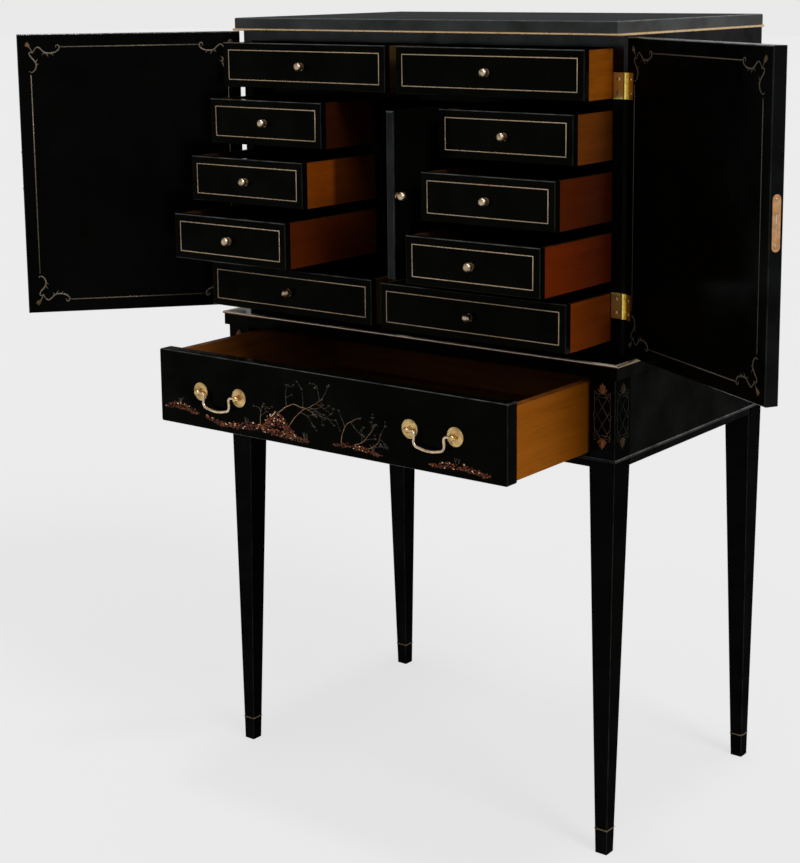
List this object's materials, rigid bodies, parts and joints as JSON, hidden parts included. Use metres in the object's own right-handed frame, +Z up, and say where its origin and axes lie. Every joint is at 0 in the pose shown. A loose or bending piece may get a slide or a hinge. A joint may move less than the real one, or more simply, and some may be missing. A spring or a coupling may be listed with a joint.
{
  "type": "cabinet on stand",
  "caption": "Black lacquer cabinet with hinged doors over small gilt-lined drawers and a central cupboard, on a square tapered-leg stand with a wide frieze drawer",
  "frame": {"origin": "on the floor, under the middle of the stand's footprint (the rectangle round its four legs at the frieze)", "axes": "+X to the right of someone facing the doors, +Y to the back, +Z up; drawers pull out along -Y"},
  "size_m": [1.2753, 0.6785, 1.2099],
  "materials": {
    "lacquer": "black high-gloss lacquer over wood",
    "gilt": "gilded wood bead",
    "drawer_lining": "waxed golden-brown hardwood",
    "brass": "polished brass"
  },
  "bodies": {
    "cabinet": {"leg_front_left": "lacquer", "leg_front_right": "lacquer", "leg_rear_left": "lacquer", "leg_rear_right": "lacquer", "stand_rails": "lacquer", "stand_top": "lacquer", "drawer_runners": "drawer_lining", "gilt_beads": "gilt", "case_carcass": "lacquer", "case_back": "lacquer", "top_board": "lacquer", "dust_boards": "lacquer", "uprights": "lacquer", "case_hinge_leaves": "brass", "hinge_pins": "brass"},
    "left_door": {"left_door": "lacquer", "left_door_hinge_leaves": "brass", "lock_strike": "brass"},
    "right_door": {"right_door": "lacquer", "right_door_hinge_leaves": "brass", "lock_case": "brass"},
    "lock_bolt": {"lock_bolt": "brass"},
    "centre_door": {"centre_door": "lacquer", "centre_door_hinge_leaves": "brass", "centre_door_knob": "brass"},
    "stand_drawer": {"stand_drawer_front": "lacquer", "stand_drawer_box": "drawer_lining", "bail_posts": "brass"},
    "bail_left": {"bail_left": "brass"},
    "bail_right": {"bail_right": "brass"},
    "drawer_top_left": {"drawer_top_left_front": "lacquer", "drawer_top_left_box": "drawer_lining", "drawer_top_left_knob": "brass"},
    "drawer_top_right": {"drawer_top_right_front": "lacquer", "drawer_top_right_box": "drawer_lining", "drawer_top_right_knob": "brass"},
    "drawer_upper_left": {"drawer_upper_left_front": "lacquer", "drawer_upper_left_box": "drawer_lining", "drawer_upper_left_knob": "brass"},
    "drawer_upper_right": {"drawer_upper_right_front": "lacquer", "drawer_upper_right_box": "drawer_lining", "drawer_upper_right_knob": "brass"},
    "drawer_middle_left": {"drawer_middle_left_front": "lacquer", "drawer_middle_left_box": "drawer_lining", "drawer_middle_left_knob": "brass"},
    "drawer_middle_right": {"drawer_middle_right_front": "lacquer", "drawer_middle_right_box": "drawer_lining", "drawer_middle_right_knob": "brass"},
    "drawer_lower_left": {"drawer_lower_left_front": "lacquer", "drawer_lower_left_box": "drawer_lining", "drawer_lower_left_knob": "brass"},
    "drawer_lower_right": {"drawer_lower_right_front": "lacquer", "drawer_lower_right_box": "drawer_lining", "drawer_lower_right_knob": "brass"},
    "drawer_bottom_left": {"drawer_bottom_left_front": "lacquer", "drawer_bottom_left_box": "drawer_lining", "drawer_bottom_left_knob": "brass"},
    "drawer_bottom_right": {"drawer_bottom_right_front": "lacquer", "drawer_bottom_right_box": "drawer_lining", "drawer_bottom_right_knob": "brass"}
  },
  "joints": [
    {"name": "left_door_hinge", "type": "hinge", "parent": "cabinet", "child": "left_door", "pos_m": [-0.355, -0.18875, 0.9667], "axis": [0, 0, -1], "range_deg": [-45.3, 48.7]},
    {"name": "right_door_hinge", "type": "hinge", "parent": "cabinet", "child": "right_door", "pos_m": [0.355, -0.18875, 0.9667], "axis": [0, 0, 1], "range_deg": [-64.2, 29.8]},
    {"name": "centre_door_hinge", "type": "hinge", "parent": "cabinet", "child": "centre_door", "pos_m": [0.0976, -0.1625, 0.96775], "axis": [0, 0, 1], "range_deg": [-85.7, 3]},
    {"name": "lock_bolt_slide", "type": "slide", "parent": "right_door", "child": "lock_bolt", "axis": [0.8678, -0.497, 0], "range_m": [0, 0.007]},
    {"name": "stand_drawer_slide", "type": "slide", "parent": "cabinet", "child": "stand_drawer", "axis": [0, -1, 0], "range_m": [-0.2028, 0.09]},
    {"name": "bail_left_hinge", "type": "hinge", "parent": "stand_drawer", "child": "bail_left", "pos_m": [-0.1985, -0.4364, 0.658], "axis": [-1, 0, 0], "range_deg": [0, 95]},
    {"name": "bail_right_hinge", "type": "hinge", "parent": "stand_drawer", "child": "bail_right", "pos_m": [0.1985, -0.4364, 0.658], "axis": [-1, 0, 0], "range_deg": [0, 95]},
    {"name": "drawer_top_left_slide", "type": "slide", "parent": "cabinet", "child": "drawer_top_left", "axis": [0, -1, 0], "range_m": [-0.096, 0.164]},
    {"name": "drawer_top_right_slide", "type": "slide", "parent": "cabinet", "child": "drawer_top_right", "axis": [0, -1, 0], "range_m": [-0.1017, 0.1583]},
    {"name": "drawer_upper_left_slide", "type": "slide", "parent": "cabinet", "child": "drawer_upper_left", "axis": [0, -1, 0], "range_m": [-0.1282, 0.1318]},
    {"name": "drawer_upper_right_slide", "type": "slide", "parent": "cabinet", "child": "drawer_upper_right", "axis": [0, -1, 0], "range_m": [-0.1287, 0.1313]},
    {"name": "drawer_middle_left_slide", "type": "slide", "parent": "cabinet", "child": "drawer_middle_left", "axis": [0, -1, 0], "range_m": [-0.1736, 0.0864]},
    {"name": "drawer_middle_right_slide", "type": "slide", "parent": "cabinet", "child": "drawer_middle_right", "axis": [0, -1, 0], "range_m": [-0.1725, 0.0875]},
    {"name": "drawer_lower_left_slide", "type": "slide", "parent": "cabinet", "child": "drawer_lower_left", "axis": [0, -1, 0], "range_m": [-0.2143, 0.0457]},
    {"name": "drawer_lower_right_slide", "type": "slide", "parent": "cabinet", "child": "drawer_lower_right", "axis": [0, -1, 0], "range_m": [-0.2085, 0.0515]},
    {"name": "drawer_bottom_left_slide", "type": "slide", "parent": "cabinet", "child": "drawer_bottom_left", "axis": [0, -1, 0], "range_m": [-0.1345, 0.1255]},
    {"name": "drawer_bottom_right_slide", "type": "slide", "parent": "cabinet", "child": "drawer_bottom_right", "axis": [0, -1, 0], "range_m": [-0.1442, 0.1158]}
  ]
}
